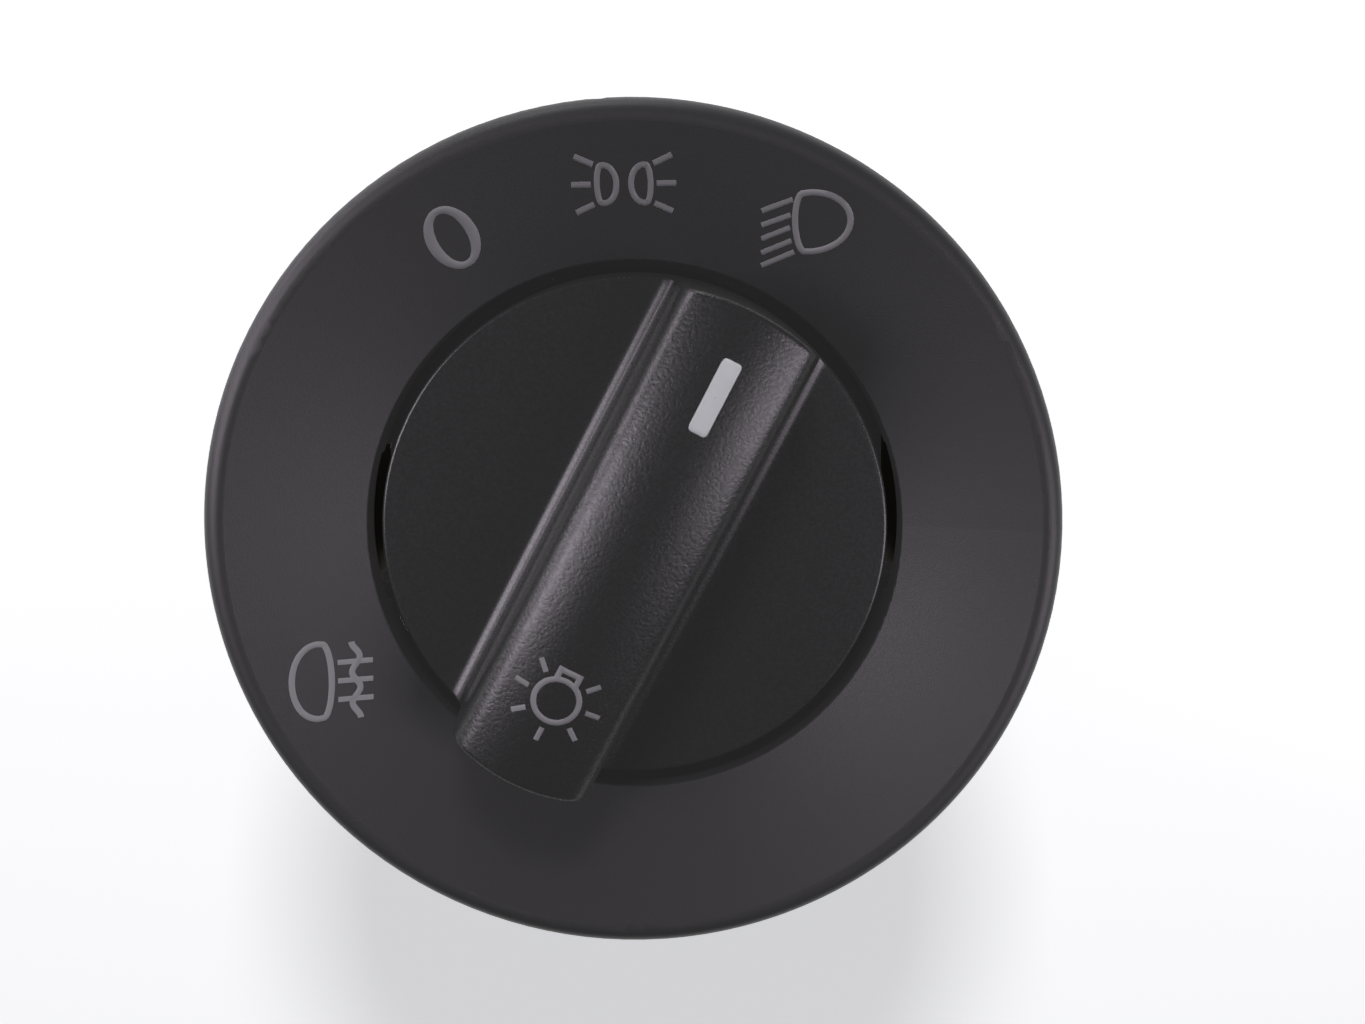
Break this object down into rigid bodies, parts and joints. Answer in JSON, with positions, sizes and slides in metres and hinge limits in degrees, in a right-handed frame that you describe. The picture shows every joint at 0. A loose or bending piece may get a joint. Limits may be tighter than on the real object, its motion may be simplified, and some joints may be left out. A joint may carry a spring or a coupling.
{
  "type": "headlight switch",
  "caption": "Round dashboard lamp switch: dished bezel with lamp symbols, a turn, pull and push knob with a pointer window, sprung panel lugs and a plug socket behind.",
  "frame": {"origin": "centre of the round collar, in the plane of the panel face that the bezel seats on", "axes": "+Z along the knob axis out of the panel towards the driver, +Y up, +X to the right as the driver sees it"},
  "size_m": [0.078, 0.078, 0.0626],
  "materials": {
    "bezel": "fine moulded grain",
    "knob": "fine moulded grain",
    "pointer": "smooth",
    "clear": "clear",
    "board": "solder mask",
    "lamp": "smooth",
    "resistor": "smooth",
    "contact": "stamped, tinned blades",
    "bronze": "stamped",
    "spring": "drawn wire",
    "housing": "glass-filled",
    "plate": "moulded",
    "slider_plastic": "natural acetal",
    "lug": "acetal"
  },
  "bodies": {
    "switch_body": {"bezel": "bezel", "symbol_light_guide": "clear", "fog_light_guide": "clear", "light_board": "board", "led_off": "lamp", "led_side": "lamp", "led_head": "lamp", "led_fog": "lamp", "pointer_led_1": "lamp", "pointer_led_2": "lamp", "pointer_led_3": "lamp", "board_resistors": "resistor", "board_pins": "contact", "housing": "housing", "detent_spring": "spring", "contact_plate": "plate", "terminal_supply": "contact", "terminal_side": "contact", "terminal_off": "contact", "terminal_head": "contact", "terminal_day": "contact", "terminal_fog_in": "contact", "terminal_fog_out": "contact", "terminal_dimmer": "contact", "terminal_ground": "contact", "connector_base": "housing", "lug_springs_right": "spring", "lug_springs_left": "spring"},
    "rotor": {"rotor": "slider_plastic", "side_bridge": "bronze", "head_bridge": "bronze", "detent_clip": "spring"},
    "slider": {"pull_slider": "slider_plastic", "fog_bridge": "bronze", "return_spring": "spring"},
    "knob": {"knob": "knob", "knob_carrier": "slider_plastic", "pointer_light_guide": "pointer"},
    "release_disc": {"release_disc": "slider_plastic"},
    "lug_right": {"lug_right": "lug"},
    "lug_left": {"lug_left": "lug"}
  },
  "joints": [
    {"name": "knob_turn", "type": "hinge", "parent": "switch_body", "child": "rotor", "pos_m": [0, 0, 0], "axis": [0, 0, 1], "range_deg": [0, 59], "deforming": ["detent_spring"]},
    {"name": "knob_pull", "type": "slide", "parent": "rotor", "child": "slider", "axis": [0, 0, 1], "range_m": [0, 0.0047], "deforming": ["detent_clip"]},
    {"name": "knob_push", "type": "slide", "parent": "slider", "child": "knob", "axis": [0, 0, 1], "range_m": [-0.0035, 0], "stiffness_N_per_m": 600, "springref_m": 0.001, "deforming": ["return_spring"]},
    {"name": "release_turn", "type": "hinge", "parent": "switch_body", "child": "release_disc", "pos_m": [0, 0, 0], "axis": [0, 0, -1], "range_deg": [0, 20], "stiffness_Nm_per_rad": 0.05, "springref_deg": -5.73},
    {"name": "lug_right_slide", "type": "slide", "parent": "switch_body", "child": "lug_right", "axis": [-1, 0, 0], "range_m": [0, 0.0024], "deforming": ["lug_springs_right"]},
    {"name": "lug_left_slide", "type": "slide", "parent": "switch_body", "child": "lug_left", "axis": [1, 0, 0], "range_m": [0, 0.0024], "deforming": ["lug_springs_left"]}
  ],
  "couplings": [
    {"joint": "lug_right_slide", "follows": "release_turn", "m_per_rad": 0.0068754},
    {"joint": "lug_left_slide", "follows": "release_turn", "m_per_rad": 0.0068754}
  ]
}
